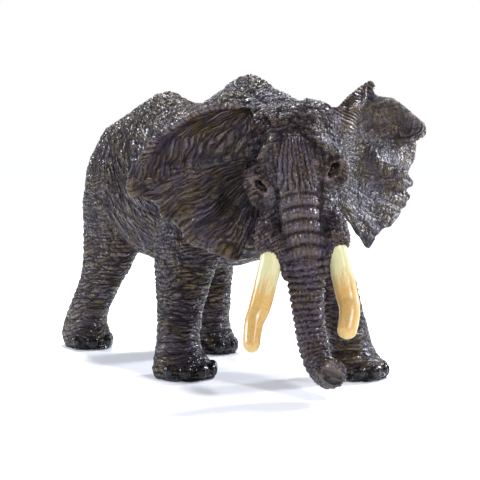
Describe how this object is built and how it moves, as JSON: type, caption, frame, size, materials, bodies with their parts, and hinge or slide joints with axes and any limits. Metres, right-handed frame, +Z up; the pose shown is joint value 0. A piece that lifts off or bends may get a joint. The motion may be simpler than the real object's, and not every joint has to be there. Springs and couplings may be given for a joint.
{
  "type": "toy elephant figure",
  "caption": "Large soft-vinyl African elephant figure in a walking pose, head turned to its right, ears spread, trunk curled forward at the ground.",
  "frame": {"origin": "on the ground under the middle of the figure's bounding box", "axes": "+Z up, -Y towards the figure's front, +X towards its left side"},
  "size_m": [0.187, 0.2826, 0.1832],
  "materials": {
    "hide": "soft vinyl, dark purplish grey with an olive wash on the raised wrinkles, satin with gloss on the folds",
    "ivory": "vinyl, cream at the root with orange-tan streaks and a pale tip, semi-gloss",
    "fibre": "loose white polyester fibre, matt, sealed inside"
  },
  "bodies": {
    "root": {"torso_shell": "hide", "head_shell": "hide", "lower_jaw": "hide", "trunk": "hide", "right_ear": "hide", "left_ear": "hide", "right_tusk": "ivory", "left_tusk": "ivory", "front_right_leg": "hide", "front_left_leg": "hide", "rear_right_leg": "hide", "rear_left_leg": "hide", "tail": "hide", "body_stuffing": "fibre", "head_stuffing": "fibre"}
  },
  "joints": []
}
